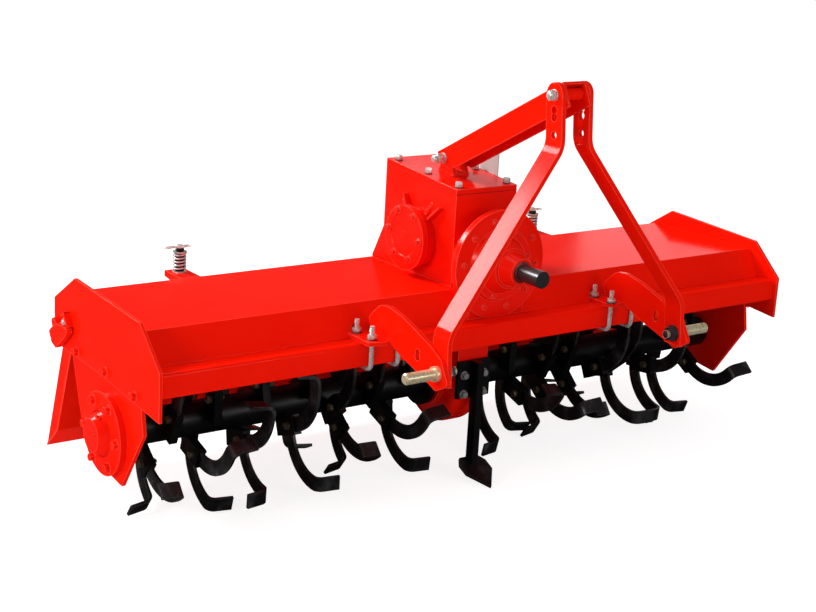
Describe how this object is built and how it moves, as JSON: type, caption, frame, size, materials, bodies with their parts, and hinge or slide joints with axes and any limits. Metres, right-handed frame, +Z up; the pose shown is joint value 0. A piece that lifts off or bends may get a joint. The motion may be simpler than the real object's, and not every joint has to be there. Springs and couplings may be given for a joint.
{
  "type": "rotary tiller",
  "caption": "Three-point mounted rotary tiller: centre gearbox, bladed rotor under a folded hood, hinged trailing board on sprung rods, and a central share.",
  "frame": {"origin": "middle of the footprint, on the ground under the machine", "axes": "+X to the right seen from the front, -Y towards the tractor, +Z up"},
  "size_m": [2.128, 0.9672, 1.1414],
  "materials": {
    "red_paint": "gloss",
    "black_paint": "satin",
    "blade_steel": "satin",
    "grey_plate": "satin",
    "zinc": "bright zinc",
    "yellow_zinc": "yellow zinc",
    "bright_steel": "machined",
    "spring_steel": "oiled",
    "black_plastic": "satin"
  },
  "bodies": {
    "frame": {"main_beam": "red_paint", "hood_panel": "red_paint", "gearbox_body": "red_paint", "gearbox_cover": "red_paint", "input_housing": "red_paint", "centre_gear_case": "red_paint", "top_link": "red_paint", "top_link_lug": "red_paint", "mast_spacer": "red_paint", "end_plate_left": "red_paint", "end_plate_right": "red_paint", "bearing_plate_left": "red_paint", "bearing_plate_right": "red_paint", "bearing_cover_left": "red_paint", "bearing_cover_right": "red_paint", "gearbox_side_cover_left": "red_paint", "gearbox_side_cover_right": "red_paint", "hitch_plate_left": "red_paint", "hitch_plate_right": "red_paint", "saddle_plate_left": "red_paint", "saddle_plate_right": "red_paint", "mast_bar_left": "red_paint", "mast_bar_right": "red_paint", "spring_bracket_left": "red_paint", "spring_bracket_right": "red_paint", "hose_bracket": "grey_plate", "top_link_bolt_low": "zinc", "top_link_bolt_high": "zinc", "shank_clamp": "black_paint", "shank_bar": "black_paint", "share": "black_paint", "hitch_pin_left": "yellow_zinc", "hitch_pin_right": "yellow_zinc", "u_bolts_left": "zinc", "u_bolts_right": "zinc"},
    "rotor": {"rotor_shaft": "black_paint", "blade_sockets": "black_paint", "blades_left_hand": "blade_steel", "blades_right_hand": "blade_steel"},
    "input_shaft": {"input_shaft": "bright_steel", "shaft_cap": "black_plastic"},
    "trailing_board": {"board_panel": "red_paint", "board_lugs": "red_paint", "board_end_left": "red_paint", "board_end_right": "red_paint", "board_ear_left": "red_paint", "board_ear_right": "red_paint", "board_pivot_left": "zinc", "board_pivot_right": "zinc"},
    "lift_rods": {"lift_rods": "zinc", "rod_springs": "spring_steel", "rod_clips": "zinc"}
  },
  "joints": [
    {"name": "rotor_spin", "type": "hinge", "parent": "frame", "child": "rotor", "pos_m": [0, 0.059, 0.254], "axis": [1, 0, 0], "continuous": true},
    {"name": "input_spin", "type": "hinge", "parent": "frame", "child": "input_shaft", "pos_m": [0, -0.259, 0.625], "axis": [0, -1, 0], "continuous": true},
    {"name": "board_hinge", "type": "hinge", "parent": "frame", "child": "trailing_board", "pos_m": [0, 0.322, 0.466], "axis": [1, 0, 0], "range_deg": [0, 30]},
    {"name": "rod_swing", "type": "hinge", "parent": "trailing_board", "child": "lift_rods", "pos_m": [0, 0.456, 0.26], "axis": [1, 0, 0], "range_deg": [-4.8, 0]}
  ],
  "couplings": [
    {"joint": "input_spin", "follows": "rotor_spin", "ratio": 2.6},
    {"joint": "rod_swing", "follows": "board_hinge", "ratio": -0.16}
  ]
}
